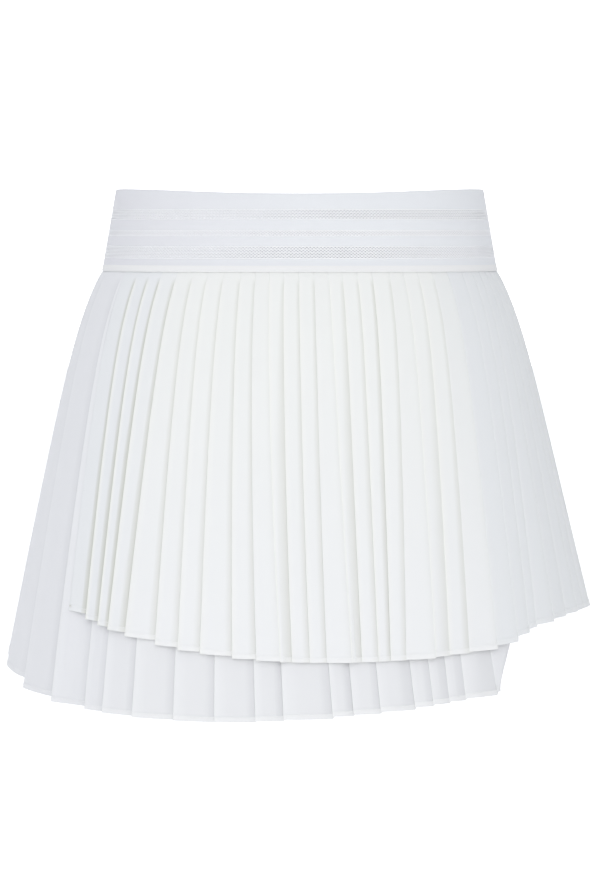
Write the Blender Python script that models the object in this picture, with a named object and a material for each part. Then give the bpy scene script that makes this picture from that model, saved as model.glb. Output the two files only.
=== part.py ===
"""A pleated wrap tennis skirt on a wide elastic waistband, in the hollow form it has when worn.

Metres, +Z up, the front faces -Y. The origin is the middle of the waistband ring, half way up the band.
A place round the skirt is told in quarters of its girth: 0 is the front centre, 1 the side at +X,
2 the back centre, and -1 (which is also 3) the side at -X.
The front is two pleated panels that wrap over each other: a long one beneath, from the side at -X to
a free edge right of the centre, and a shorter one above it, from a free edge left of the centre to the
side at +X. One back panel joins them at the side seams. Every knife pleat turns the same way round the
body: its fold edge faces -X on the front, so its face runs from that edge down into the next fold.
"""

from collections import namedtuple

import bmesh
import bpy
import numpy as np

MM = 0.001

# Cloth and seams
WALL = 1.0 * MM
LAYER_GAP = 1.8 * MM
SEAM_GAP = 0.3 * MM

# Waistband
BAND_HEIGHT = 58 * MM
BAND_WALL = 2 * MM
BAND_TOP_HALF_WIDTH = 131.2 * MM
BAND_FOOT_HALF_WIDTH = 141.3 * MM
BAND_EDGE_ROUNDING = 0.6 * MM
BAND_COLUMNS = 80
MESH_RECESS = 0.4 * MM
RIB_SLOPE = 0.5 * MM
TOP_EDGE_DIP = 3.6 * MM
MeshStripe = namedtuple("MeshStripe", "top foot")
MESH_STRIPES = (
    MeshStripe(top=14.5 * MM, foot=21.7 * MM),
    MeshStripe(top=28.9 * MM, foot=33.3 * MM),
    MeshStripe(top=40.0 * MM, foot=48.8 * MM),
)
BAND_TOP = BAND_HEIGHT / 2
BAND_FOOT = -BAND_HEIGHT / 2

# Outline of the skirt below the band: a quick swell over the hip, then a straight flare. The hem swings
# a little towards +X.
HIP_SWELL = 10.6 * MM
HIP_SWELL_DEPTH = 31 * MM
FLARE = 0.2225
HEM_SWING = 4 * MM
SWING_DEPTH = 275 * MM
SWING_POWER = 1.8
TUCK_DEPTH = 8 * MM
PANEL_LAP = 7 * MM
BAND_LAP_GAP = 0.45 * MM

# Section seen from above: a slightly squared oval
SECTION_POWER = 2.3
WAIST_DEPTH_SHARE = 0.76
HEM_DEPTH_SHARE = 0.80
MEAN_DEPTH_SHARE = 0.78
LONGEST_DROP = 335 * MM
SECTION_SAMPLES = 721

# Pleats
Lift = namedtuple("Lift", "waist hem")
OVER_LIFT = Lift(waist=1.6 * MM, hem=4.5 * MM)
UNDER_LIFT = Lift(waist=1.6 * MM, hem=6 * MM)
BACK_LIFT = Lift(waist=1.6 * MM, hem=5 * MM)
STEEPEST_FACE = 0.6
RETURN_SLANT = 0.5 * MM
# How much of a fold's cloth shows as its face: the hidden rest makes the hem step at the next fold
HEM_FACE_SHARE = 0.5
LEVELS_BELOW_BAND = 11
LEVEL_CROWDING = 1.4

# The long panel's free edge turns back beneath its last face, and bows towards +X between waist and hem
TURN_BACK = 6 * MM
LEAST_TURN_BACK = 2.6 * MM
EDGE_BOW = 0.109

# Where the panels start and end, in quarters of the girth, at the waist and at the hem
Edge = namedtuple("Edge", "waist hem")
OVER_FREE_EDGE = Edge(waist=-0.66, hem=-0.595)
UNDER_FREE_EDGE = Edge(waist=0.6, hem=0.447)
LEFT_SIDE = Edge(waist=-1.0, hem=-1.0)
RIGHT_SIDE = Edge(waist=1.0, hem=1.0)
BACK_LEFT_SIDE = Edge(waist=3.0, hem=3.0)
UNDER_CLEAR_OF_OVER = -0.73

# Widths in mm of each fold's face at the waist and at the hem, in order towards +X on the front, and
# how much of the full lift its fold edge keeps at the hem
Fold = namedtuple("Fold", "waist hem proud", defaults=(1.0,))
OVER_FOLDS = (
    Fold(waist=13.7, hem=17),
    Fold(waist=11.2, hem=11.3),
    Fold(waist=10.2, hem=9.1),
    Fold(waist=12.2, hem=13.8),
    Fold(waist=11.9, hem=23.2),
    Fold(waist=10.5, hem=16.8),
    Fold(waist=11.5, hem=15.5),
    Fold(waist=11.7, hem=22.3),
    Fold(waist=10, hem=16.2),
    Fold(waist=9.5, hem=16),
    Fold(waist=9.8, hem=7.9, proud=0.55),
    Fold(waist=10.1, hem=11.9),
    Fold(waist=10.2, hem=11.3),
    Fold(waist=9.7, hem=16.8),
    Fold(waist=9.4, hem=6.8, proud=0.55),
    Fold(waist=10.3, hem=11),
    Fold(waist=10.2, hem=8.4),
    Fold(waist=12.2, hem=10.4),
    Fold(waist=10.2, hem=20.3),
    Fold(waist=11, hem=10.6, proud=0.55),
    Fold(waist=11.3, hem=14.6),
    Fold(waist=12.5, hem=21.3),
    Fold(waist=13.7, hem=18),
    Fold(waist=11, hem=12.2),
    Fold(waist=8.8, hem=8.2),
    Fold(waist=8.8, hem=18),
    Fold(waist=8.8, hem=18),
    Fold(waist=8.8, hem=18),
    Fold(waist=8.8, hem=18),
    Fold(waist=8.8, hem=18),
    Fold(waist=8.8, hem=18),
    Fold(waist=8.8, hem=18),
)
UNDER_FOLDS = (
    Fold(waist=17, hem=34.3),
    Fold(waist=20, hem=49.2),
    Fold(waist=26, hem=38.8),
    Fold(waist=20, hem=29),
    Fold(waist=12, hem=15.5),
    Fold(waist=16, hem=24),
    Fold(waist=19, hem=29.8),
    Fold(waist=17, hem=28.8),
    Fold(waist=17, hem=27.7),
    Fold(waist=13, hem=18.9),
    Fold(waist=20, hem=33),
    Fold(waist=10, hem=14.2),
    Fold(waist=13, hem=18.4),
    Fold(waist=16, hem=24),
    Fold(waist=10, hem=12.9),
    Fold(waist=10, hem=11.9),
    Fold(waist=10, hem=11.9),
    Fold(waist=12, hem=24.7),
    Fold(waist=31, hem=3.8),
)
BACK_FOLDS = 30
BACK_FOLD_WAIST = 13.3
BACK_FOLD_HEM = 20
BACK_UNEVENNESS = 0.3
BACK_UNEVENNESS_STEP = 2.4

# How far below the origin each hem hangs at a place round the skirt
HemPoint = namedtuple("HemPoint", "place drop")
OVER_HEM = (
    HemPoint(place=-0.6, drop=261.5 * MM),
    HemPoint(place=-0.4, drop=278 * MM),
    HemPoint(place=-0.12, drop=290 * MM),
    HemPoint(place=0.1, drop=291.5 * MM),
    HemPoint(place=0.3, drop=288.5 * MM),
    HemPoint(place=0.45, drop=283 * MM),
    HemPoint(place=0.58, drop=271.5 * MM),
    HemPoint(place=0.7, drop=267 * MM),
    HemPoint(place=1.0, drop=268 * MM),
)
UNDER_HEM = (
    HemPoint(place=-1.0, drop=299 * MM),
    HemPoint(place=-0.8, drop=315 * MM),
    HemPoint(place=-0.53, drop=327 * MM),
    HemPoint(place=-0.25, drop=331.5 * MM),
    HemPoint(place=0.03, drop=328 * MM),
    HemPoint(place=0.28, drop=320.5 * MM),
    HemPoint(place=0.46, drop=313 * MM),
)
BACK_HEM = (
    HemPoint(place=1.0, drop=268 * MM),
    HemPoint(place=1.25, drop=270 * MM),
    HemPoint(place=1.6, drop=281 * MM),
    HemPoint(place=2.0, drop=291 * MM),
    HemPoint(place=2.5, drop=298 * MM),
    HemPoint(place=3.0, drop=299 * MM),
)

# Looks
BAND_WHITE = (0.83, 0.85, 0.89, 1.0)
PLEAT_WHITE = (0.88, 0.89, 0.88, 1.0)
BAND_ROUGHNESS = 0.75
PLEAT_ROUGHNESS = 0.65
SHARP_FOLD = np.radians(30)


def clear_scene():
    for obj in list(bpy.data.objects):
        bpy.data.objects.remove(obj)


def cloth_material(name, colour, roughness):
    material = bpy.data.materials.new(name)
    material.use_nodes = True
    shader = material.node_tree.nodes["Principled BSDF"]
    shader.inputs["Base Color"].default_value = colour
    shader.inputs["Roughness"].default_value = roughness
    shader.inputs["Metallic"].default_value = 0.0
    return material


def quarter_of_section():
    """One quarter of the unit section: its share of the arc, its x and y, and the arc's length."""
    angle = np.linspace(0, np.pi / 2, SECTION_SAMPLES)
    x = np.sin(angle) ** (2 / SECTION_POWER)
    y = np.cos(angle) ** (2 / SECTION_POWER)
    steps = np.hypot(np.diff(x), MEAN_DEPTH_SHARE * np.diff(y))
    arc = np.concatenate([[0.0], np.cumsum(steps)])
    return arc / arc[-1], x, y, arc[-1]


ARC_SHARE, UNIT_X, UNIT_Y, UNIT_QUARTER = quarter_of_section()


def below_band(z):
    return np.maximum(0.0, BAND_FOOT - z)


def outline_half_width(z):
    """Half the width of the garment's outline at height z."""
    below = below_band(z)
    up_band = np.clip((z - BAND_FOOT) / BAND_HEIGHT, 0.0, 1.0)
    band = BAND_FOOT_HALF_WIDTH + (BAND_TOP_HALF_WIDTH - BAND_FOOT_HALF_WIDTH) * up_band
    swell = HIP_SWELL * (1 - np.exp(-below / HIP_SWELL_DEPTH))
    return band + swell + FLARE * below


def depth_share(z):
    return WAIST_DEPTH_SHARE + (HEM_DEPTH_SHARE - WAIST_DEPTH_SHARE) * below_band(z) / LONGEST_DROP


def tuck(z):
    """How far inside the outline the fold edges lie: behind the band at its foot, and not at all lower down."""
    return (BAND_WALL + BAND_LAP_GAP) * np.exp(-below_band(z) / TUCK_DEPTH)


def hem_swing(z):
    return HEM_SWING * (below_band(z) / SWING_DEPTH) ** SWING_POWER


def top_edge_dip(z, y):
    """How far the band's plain top sinks at the middle of the front and the back, where y is 1."""
    up = np.clip((z - BAND_TOP + MESH_STRIPES[0].top) / MESH_STRIPES[0].top, 0.0, 1.0)
    return TOP_EDGE_DIP * up * y**4


def surface_point(place, out, z):
    """The point at a place round the skirt and a height, moved out from the outline along its normal."""
    turn = np.mod(place, 4.0)
    share = 1.0 - np.abs(1.0 - np.mod(turn, 2.0))
    side = np.where(turn <= 2.0, 1.0, -1.0)
    front = np.where((turn <= 1.0) | (turn > 3.0), -1.0, 1.0)
    x = np.interp(share, ARC_SHARE, UNIT_X)
    y = np.interp(share, ARC_SHARE, UNIT_Y)
    half_width = outline_half_width(z)
    half_depth = half_width * depth_share(z)
    normal_x = side * x ** (SECTION_POWER - 1) / half_width
    normal_y = front * y ** (SECTION_POWER - 1) / half_depth
    size = np.hypot(normal_x, normal_y)
    return np.stack(
        [
            side * x * half_width + out * normal_x / size + hem_swing(z),
            front * y * half_depth + out * normal_y / size,
            z - top_edge_dip(z, y),
        ],
        axis=-1,
    )


def offset_line(line, distance):
    """A polyline in the plane moved to its right by a distance, with mitred corners."""
    run = np.diff(line, axis=0)
    run /= np.linalg.norm(run, axis=1)[:, None]
    normals = np.stack([run[:, 1], -run[:, 0]], axis=1)
    before = np.vstack([normals[:1], normals])
    after = np.vstack([normals, normals[-1:]])
    mitre = (before + after) / (1 + np.sum(before * after, axis=1))[:, None]
    return line + mitre * distance


def hem_drop(points, place):
    """A smooth curve through a hem's points: cubic between them, with slopes taken from their neighbours."""
    places = np.array([p.place for p in points])
    drops = np.array([p.drop for p in points])
    slopes = np.gradient(drops, places)
    place = np.clip(place, places[0], places[-1])
    index = np.clip(np.searchsorted(places, place) - 1, 0, len(places) - 2)
    span = places[index + 1] - places[index]
    t = (place - places[index]) / span
    start = drops[index] * (1 + 2 * t) + slopes[index] * span * t
    end = drops[index + 1] * (3 - 2 * t) - slopes[index + 1] * span * (1 - t)
    return start * (1 - t) ** 2 + end * t**2


def fold_edges(widths, start, end):
    """The places where the faces of the folds begin and end, spread from start to end."""
    reached = np.concatenate([[0.0], np.cumsum(widths)])
    return start + (end - start) * reached / reached[-1]


def pleat_lift(lift, down):
    return lift.waist + (lift.hem - lift.waist) * down


def pleat_line(folds, start, end, lift, down, quarter, starts_at_seam, turns_back):
    """The corners of a panel's knife pleats at one level.

    down is how far down the skirt the level is, from 0 at the band to 1 at the hem. Each corner gets its
    distance along the section, its height against the outline, and the place on the hem that it leads to.
    """
    waist = fold_edges([f.waist for f in folds], start.waist, end.waist)
    hem = fold_edges([f.hem for f in folds], start.hem, end.hem)
    edges = (waist + (hem - waist) * down) * quarter
    edges[0] += SEAM_GAP / 2
    edges[-1] -= SEAM_GAP / 2
    if turns_back:
        edges[-1] += EDGE_BOW * 4 * down * (1 - down) * quarter
    corners = []
    if starts_at_seam:
        corners.append((edges[0], -lift, hem[0]))
    for k, fold in enumerate(folds):
        width = edges[k + 1] - edges[k]
        sunk = lift * (1 - fold.proud) * down
        slant = 0.0 if k == 0 and not starts_at_seam else RETURN_SLANT
        depth = max(min(lift, STEEPEST_FACE * width), sunk + WALL)
        corners.append((edges[k] + slant, -sunk, hem[k]))
        corners.append((edges[k + 1], -depth, hem[k] + HEM_FACE_SHARE * (hem[k + 1] - hem[k])))
    if turns_back:
        corners[-1] = (edges[-1], -max(TURN_BACK * down, LEAST_TURN_BACK), hem[-1])
    return np.array(corners)


def wall_loop(corners, panel_hem, down, quarter, shift):
    """The closed loop round a panel's wall at one level: along its outer face and back along its inner one."""
    fall = max(down, 0.0)
    heights = BAND_FOOT - fall * (hem_drop(panel_hem, corners[:, 2]) + BAND_FOOT)
    if down < 0:
        heights = heights + PANEL_LAP
    sides = []
    for line in (corners[:, :2], offset_line(corners[:, :2], WALL)):
        place = line[:, 0] / quarter
        out = line[:, 1] - tuck(heights) - shift(place, fall)
        sides.append(surface_point(place, out, heights))
    return np.vstack([sides[0], sides[1][::-1]])


def no_shift(place, down):
    return 0.0 * place


def under_shift(place, down):
    """The long front panel lies beneath the short one, and comes out from it towards the side."""
    share = np.clip((place - LEFT_SIDE.waist) / (UNDER_CLEAR_OF_OVER - LEFT_SIDE.waist), 0.0, 1.0)
    return (pleat_lift(OVER_LIFT, down) + WALL + LAYER_GAP) * share * share * (3 - 2 * share)


def levels():
    """The first level is the lapped upper edge, and the others crowd towards the band."""
    steps = np.linspace(0, 1, LEVELS_BELOW_BAND)
    return [-1.0, *(steps**LEVEL_CROWDING)]


def loft(name, loops, closed, material):
    """Skins loops of equal length into one closed body. An open row gets a strip of faces at each end."""
    bm = bmesh.new()
    rows = [[bm.verts.new(point) for point in loop] for loop in loops]
    pairs = list(zip(rows, rows[1:]))
    if closed:
        pairs.append((rows[-1], rows[0]))
    count = len(rows[0])
    for upper, lower in pairs:
        for i in range(count):
            j = (i + 1) % count
            bm.faces.new((upper[i], upper[j], lower[j], lower[i]))
    if not closed:
        for row in (rows[0], rows[-1]):
            for i in range(count // 2 - 1):
                bm.faces.new((row[i], row[i + 1], row[-2 - i], row[-1 - i]))
    bmesh.ops.recalc_face_normals(bm, faces=bm.faces)
    mesh = bpy.data.meshes.new(name)
    bm.to_mesh(mesh)
    bm.free()
    mesh.materials.append(material)
    mesh.shade_smooth()
    mesh.set_sharp_from_angle(angle=SHARP_FOLD)
    obj = bpy.data.objects.new(name, mesh)
    bpy.context.scene.collection.objects.link(obj)
    return obj


def band_outer_profile():
    """(depth below the band's upper edge, depth into the wall) down the outer face, round the mesh stripes."""
    profile = [(0.0, BAND_EDGE_ROUNDING), (BAND_EDGE_ROUNDING, 0.0)]
    for stripe in MESH_STRIPES:
        profile.append((stripe.top, 0.0))
        profile.append((stripe.top + RIB_SLOPE, MESH_RECESS))
        profile.append((stripe.foot - RIB_SLOPE, MESH_RECESS))
        profile.append((stripe.foot, 0.0))
    profile.append((BAND_HEIGHT, 0.0))
    return profile


def make_waistband(material):
    """A ring of knitted elastic with three openwork stripes, a little sunk between its plain ones."""
    outer = np.array(band_outer_profile())
    profile = np.vstack([outer, [(BAND_HEIGHT, BAND_WALL), (0.0, BAND_WALL)]])
    heights = BAND_TOP - profile[:, 0]
    places = np.arange(BAND_COLUMNS) * 4.0 / BAND_COLUMNS
    loops = [surface_point(place + 0 * heights, -profile[:, 1], heights) for place in places]
    return loft("waistband", loops, True, material)


def make_panel(
    name, folds, start, end, hem, lift, material, starts_at_seam=True, shift=no_shift, turns_back=False
):
    """A pleated panel from its edge towards -X on the front (or +X on the back) to its other edge."""
    loops = []
    for down in levels():
        fall = max(down, 0.0)
        quarter = UNIT_QUARTER * outline_half_width(BAND_FOOT - fall * (LONGEST_DROP + BAND_FOOT))
        height = pleat_lift(lift, fall)
        corners = pleat_line(folds, start, end, height, fall, quarter, starts_at_seam, turns_back)
        loops.append(wall_loop(corners, hem, down, quarter, shift))
    return loft(name, loops, False, material)


def back_folds():
    """The back's folds, alike at the waist and mildly uneven at the hem."""
    wave = 1 + BACK_UNEVENNESS * np.sin(BACK_UNEVENNESS_STEP * np.arange(BACK_FOLDS))
    return [Fold(waist=BACK_FOLD_WAIST, hem=BACK_FOLD_HEM * share) for share in wave]


def main():
    clear_scene()
    band_white = cloth_material("elastic_white", BAND_WHITE, BAND_ROUGHNESS)
    pleat_white = cloth_material("pleated_white", PLEAT_WHITE, PLEAT_ROUGHNESS)
    make_waistband(band_white)
    make_panel(
        "front_over_panel",
        OVER_FOLDS,
        OVER_FREE_EDGE,
        RIGHT_SIDE,
        OVER_HEM,
        OVER_LIFT,
        pleat_white,
        starts_at_seam=False,
    )
    make_panel(
        "front_under_panel",
        UNDER_FOLDS,
        LEFT_SIDE,
        UNDER_FREE_EDGE,
        UNDER_HEM,
        UNDER_LIFT,
        pleat_white,
        shift=under_shift,
        turns_back=True,
    )
    make_panel("back_panel", back_folds(), RIGHT_SIDE, BACK_LEFT_SIDE, BACK_HEM, BACK_LIFT, pleat_white)


main()
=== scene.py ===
# %% [markdown]
# # A pleated tennis skirt
# This lesson dresses a skirt whose solids are already packed: a waistband ring and three pleated panels.
# The real skirt is thin white polyester with pressed knife pleats, sewn to a wide knitted elastic band.
# Each cell below makes one piece or one finish, and says how it could be made and why this way was taken.

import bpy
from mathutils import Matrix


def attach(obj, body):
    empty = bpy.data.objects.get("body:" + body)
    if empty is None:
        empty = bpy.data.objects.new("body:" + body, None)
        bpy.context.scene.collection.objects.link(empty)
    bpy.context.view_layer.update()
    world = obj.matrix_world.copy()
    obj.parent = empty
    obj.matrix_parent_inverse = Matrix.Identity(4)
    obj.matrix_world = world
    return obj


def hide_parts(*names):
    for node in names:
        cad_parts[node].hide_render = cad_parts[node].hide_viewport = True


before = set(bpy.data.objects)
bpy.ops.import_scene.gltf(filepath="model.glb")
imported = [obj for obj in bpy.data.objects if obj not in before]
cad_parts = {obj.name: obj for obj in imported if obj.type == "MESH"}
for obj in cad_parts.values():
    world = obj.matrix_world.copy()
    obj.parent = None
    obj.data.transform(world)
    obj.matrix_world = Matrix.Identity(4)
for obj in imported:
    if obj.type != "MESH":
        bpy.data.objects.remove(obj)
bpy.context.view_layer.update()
print("nodes:", ", ".join(sorted(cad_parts)))

# %% Modules and units
from collections import namedtuple

import bmesh
import bpy
import numpy as np

MM = 0.001

# %% [markdown]
# ## The outline that every piece follows
# Seen from above the skirt is a slightly squared oval. It widens quickly over the hip and then flares in
# a straight line. One function gives the point at a place round the skirt and a height, so that the band,
# the panels, the net and the stitches all lie on the same body. A place is told in quarters of the girth:
# 0 is the front centre, 1 the side at +X, 2 the back centre and -1 the side at -X.

# %% Sizes of the outline
BAND_HEIGHT = 58 * MM
BAND_TOP = BAND_HEIGHT / 2
BAND_FOOT = -BAND_HEIGHT / 2
BAND_TOP_HALF_WIDTH = 131.2 * MM
BAND_FOOT_HALF_WIDTH = 141.3 * MM
TOP_EDGE_DIP = 3.6 * MM
DIP_POWER = 4
TOP_STRIPE = 14.5 * MM
HIP_SWELL = 10.6 * MM
HIP_SWELL_DEPTH = 31 * MM
FLARE = 0.2225
HEM_SWING = 4 * MM
SWING_DEPTH = 275 * MM
SWING_POWER = 1.8
SECTION_POWER = 2.3
SECTION_SAMPLES = 721
WAIST_DEPTH_SHARE = 0.76
HEM_DEPTH_SHARE = 0.80
MEAN_DEPTH_SHARE = 0.78
LONGEST_DROP = 335 * MM


# %% Points on the outline
def quarter_of_section():
    angle = np.linspace(0, np.pi / 2, SECTION_SAMPLES)
    x = np.sin(angle) ** (2 / SECTION_POWER)
    y = np.cos(angle) ** (2 / SECTION_POWER)
    arc = np.concatenate([[0.0], np.cumsum(np.hypot(np.diff(x), MEAN_DEPTH_SHARE * np.diff(y)))])
    return arc / arc[-1], x, y, arc[-1]


ARC_SHARE, UNIT_X, UNIT_Y, UNIT_QUARTER = quarter_of_section()


def below_band(z):
    return np.maximum(0.0, BAND_FOOT - z)


def outline_half_width(z):
    below = below_band(z)
    up_band = np.clip((z - BAND_FOOT) / BAND_HEIGHT, 0.0, 1.0)
    band = BAND_FOOT_HALF_WIDTH + (BAND_TOP_HALF_WIDTH - BAND_FOOT_HALF_WIDTH) * up_band
    return band + HIP_SWELL * (1 - np.exp(-below / HIP_SWELL_DEPTH)) + FLARE * below


def on_outline(place, z):
    """Points on the outline, with the unit vectors that point outward and along the girth there."""
    place, z = np.broadcast_arrays(np.asarray(place, float), np.asarray(z, float))
    turn = np.mod(place, 4.0)
    share = 1.0 - np.abs(1.0 - np.mod(turn, 2.0))
    side = np.where(turn <= 2.0, 1.0, -1.0)
    front = np.where((turn <= 1.0) | (turn > 3.0), -1.0, 1.0)
    x = np.interp(share, ARC_SHARE, UNIT_X)
    y = np.interp(share, ARC_SHARE, UNIT_Y)
    half_width = outline_half_width(z)
    depth_share = WAIST_DEPTH_SHARE + (HEM_DEPTH_SHARE - WAIST_DEPTH_SHARE) * below_band(z) / LONGEST_DROP
    half_depth = half_width * depth_share
    up = np.clip((z - BAND_TOP + TOP_STRIPE) / TOP_STRIPE, 0.0, 1.0)
    swing = HEM_SWING * (below_band(z) / SWING_DEPTH) ** SWING_POWER
    dip = TOP_EDGE_DIP * up * y**DIP_POWER
    point = np.stack([side * x * half_width + swing, front * y * half_depth, z - dip], axis=-1)
    outward_x = side * x ** (SECTION_POWER - 1) / half_width
    outward_y = front * y ** (SECTION_POWER - 1) / half_depth
    outward = np.stack([outward_x, outward_y, 0 * x], axis=-1)
    outward /= np.linalg.norm(outward, axis=-1, keepdims=True)
    along = np.stack([-outward[..., 1], outward[..., 0], 0 * x], axis=-1)
    return point, outward, along


print("girth at the waist, mm:", round(4000 * UNIT_QUARTER * BAND_TOP_HALF_WIDTH))

# %% [markdown]
# ## Writing node trees as sums
# Node trees are easier to read as expressions. `Plug` wraps one output socket and overloads the
# operators, so `1 - mask * 0.2` adds the Math nodes by itself. `Nodes.add` makes any other node: the
# settings come first, because they decide which sockets a node has, and then the values or links.


# %% One class for a socket, and one for a tree
class Plug:
    def __init__(self, nodes, socket):
        self.nodes = nodes
        self.socket = socket

    def math(self, operation, first, second=0.0):
        return self.nodes.add("ShaderNodeMath", {"operation": operation}, [first, second])

    def __add__(self, other):
        return self.math("ADD", self, other)

    def __sub__(self, other):
        return self.math("SUBTRACT", self, other)

    def __rsub__(self, other):
        return self.math("SUBTRACT", other, self)

    def __mul__(self, other):
        return self.math("MULTIPLY", self, other)

    def __pow__(self, other):
        return self.math("POWER", self, other)

    def __rpow__(self, other):
        return self.math("POWER", other, self)

    def __lt__(self, other):
        return self.math("LESS_THAN", self, other)

    def __gt__(self, other):
        return self.math("GREATER_THAN", self, other)

    def at_least(self, other):
        return self.math("MAXIMUM", self, other)

    def absolute(self):
        return self.math("ABSOLUTE", self)

    def sine(self):
        return self.math("SINE", self)

    def cosine(self):
        return self.math("COSINE", self)

    __radd__ = __add__
    __rmul__ = __mul__


class Nodes:
    def __init__(self, tree):
        self.tree = tree

    def put(self, socket, value):
        if isinstance(value, Plug):
            self.tree.links.new(value.socket, socket)
        else:
            socket.default_value = value

    def add(self, kind, settings=None, values=None, output=0):
        node = self.tree.nodes.new(kind)
        for name, value in (settings or {}).items():
            setattr(node, name, value)
        pairs = values.items() if isinstance(values, dict) else enumerate(values or ())
        for key, value in pairs:
            self.put(node.inputs[key], value)
        return Plug(self, node.outputs[output])

    def parts(self, vector):
        """The x, y and z of a vector, each as a plug."""
        split = self.add("ShaderNodeSeparateXYZ", None, [vector])
        return [Plug(self, output) for output in split.socket.node.outputs]

    def scaled(self, vector, factor):
        return self.add("ShaderNodeVectorMath", {"operation": "SCALE"}, {"Vector": vector, "Scale": factor})

    def summed(self, first, second):
        return self.add("ShaderNodeVectorMath", {"operation": "ADD"}, [first, second])

    def mixed(self, share, first, second):
        """A colour between two colours; each is a plug or three numbers."""
        ends = [colour if isinstance(colour, Plug) else (*colour, 1) for colour in (first, second)]
        return self.add("ShaderNodeMix", {"data_type": "RGBA"}, {0: share, 6: ends[0], 7: ends[1]}, 2)


# %% [markdown]
# ## What the finishes share
# Every finish is a matt white, little different from the next. So one function starts a material, one
# makes its white uneven by a hair, as washed cloth is, and one adds the bump. The cloth's own UV map is
# in metres, so weave and knit run along the cloth and never slide.


# %% Parts of a finish
def principled(name, colour, roughness, sheen):
    material = bpy.data.materials.new(name)
    material.use_nodes = True
    nodes = Nodes(material.node_tree)
    shader = material.node_tree.nodes["Principled BSDF"]
    shader.inputs["Base Color"].default_value = (*colour, 1.0)
    shader.inputs["Roughness"].default_value = roughness
    shader.inputs["Specular IOR Level"].default_value = 0.3
    shader.inputs["Sheen Weight"].default_value = sheen
    shader.inputs["Sheen Roughness"].default_value = 0.6
    return material, nodes, shader


def cloth_map(nodes):
    """The cloth's own coordinates in metres: along the girth, and down the piece, where lower is less."""
    along, down, _ = nodes.parts(nodes.add("ShaderNodeUVMap", {"uv_map": "cloth"}))
    return along, down


def uneven_white(nodes, light, dark, scale):
    place = nodes.add("ShaderNodeTexCoord", output=3)
    noise = nodes.add("ShaderNodeTexNoise", None, {"Vector": place, "Scale": scale, "Detail": 3.0})
    return nodes.mixed(noise, dark, light)


def bumped(nodes, shader, height, distance, strength):
    values = {"Height": height, "Distance": distance, "Strength": strength}
    nodes.put(shader.inputs["Normal"], nodes.add("ShaderNodeBump", None, values))


# %% [markdown]
# ## The pleated cloth
# The pleats are a smooth plain weave. No thread shows from a step away, so the weave is a bump a third
# of a millimetre wide. In light this even the folds show by slight changes of white, so light and shade
# are painted into the colour from two attributes of the mesh. The fold attribute is above 0 on a fold
# edge, where it paints a highlight, and below 0 where a face turns in, where it paints shade; `side`
# rises to 1 on the flanks and paints them in shade. The cloth is cooler towards its foot, and whiter
# where the hem doubles it, less so in the flanks' painted shade. The long panel lies beneath, so it is
# painted darker, as painted shade.

# %% Pleated cloth
THREAD_PITCH = 0.36 * MM
WEAVE_DEPTH = 0.05 * MM
FADE_HEIGHT = 220 * MM
HEM_HEIGHT = 3.45 * MM
HEM_WHITE = (0.93, 0.93, 0.91)
HEM_SHARE = 0.4
HEM_SHARE_LOST_IN_SIDE_SHADE = 0.25


def pleated_cloth(name, light, dark, cool, at_side, painted_crest_highlight, painted_fold_shade):
    material, nodes, shader = principled(name, light, roughness=0.72, sheen=0.15)
    along, down = cloth_map(nodes)
    # Painted light from the mesh: a painted highlight on each fold edge and painted shade where a face turns
    # in.
    painted_shading = nodes.add("ShaderNodeAttribute", {"attribute_name": "painted_fold_shading"}, output=2)
    side = nodes.add("ShaderNodeAttribute", {"attribute_name": "side"}, output=2)
    lower = nodes.mixed(down * (-1 / FADE_HEIGHT), cool, uneven_white(nodes, light, dark, scale=14.0))
    # Painted shade on the flanks, mixed in by the side attribute.
    white = nodes.mixed(side, lower, at_side)
    crest_highlight = nodes.mixed(painted_shading.at_least(0.0), white, painted_crest_highlight)
    fold_shaded = nodes.mixed((painted_shading * -1.0).at_least(0.0), crest_highlight, painted_fold_shade)
    # The hem's doubled white is partly lost in the flanks' painted shade.
    on_hem = (down > -HEM_HEIGHT) * (HEM_SHARE - side * HEM_SHARE_LOST_IN_SIDE_SHADE)
    nodes.put(shader.inputs["Base Color"], nodes.mixed(on_hem, fold_shaded, HEM_WHITE))
    turn = 2 * np.pi / THREAD_PITCH
    weave = (along * turn).sine() * (down * turn).sine()
    bumped(nodes, shader, weave, WEAVE_DEPTH, strength=0.35)
    return material


# The last three colours of each cloth are painted light: flank shade, fold-edge highlight and fold shade.
PLEATED_CLOTH = pleated_cloth(
    "pleated_cloth", light=(0.887, 0.892, 0.865), dark=(0.874, 0.879, 0.852), cool=(0.874, 0.877, 0.874),
    at_side=(0.824, 0.836, 0.84), painted_crest_highlight=(0.95, 0.95, 0.88), painted_fold_shade=(0.57, 0.57, 0.48),
)
# The long panel's whites are darker than the short panel's: painted shade for lying beneath it.
SHADED_CLOTH_BENEATH = pleated_cloth(
    "pleated_cloth_beneath",
    light=(0.832, 0.832, 0.838), dark=(0.82, 0.821, 0.827), cool=(0.83, 0.831, 0.834),
    at_side=(0.828, 0.83, 0.842), painted_crest_highlight=(0.93, 0.94, 0.93), painted_fold_shade=(0.6, 0.605, 0.62),
)
print("cloth:", PLEATED_CLOTH.name, "and", SHADED_CLOTH_BENEATH.name)

# %% [markdown]
# ## Knitted elastic and thread
# The band is a fine rib knit, so its bump is two waves that cross. It is painted greyer towards its left,
# as painted shade, and the welt at its foot is warmer. In the openwork stripes the floor under the net is
# painted dark, as painted shade seen through the holes, and the yarn is painted whiter, as a painted
# highlight. Both are strongest near a slanting line right of the centre and fade towards the sides.

# %% Elastic, net and thread
RIB_PITCH = 0.9 * MM
WALE_PITCH = 0.7 * MM
WALE_SHARE = 0.5
KNIT_DEPTH = 0.06 * MM
WELT_TOP = 53.5 * MM
WELT_WHITE = (0.86, 0.857, 0.848)
ELASTIC_WHITE = (0.82, 0.833, 0.849)
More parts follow.
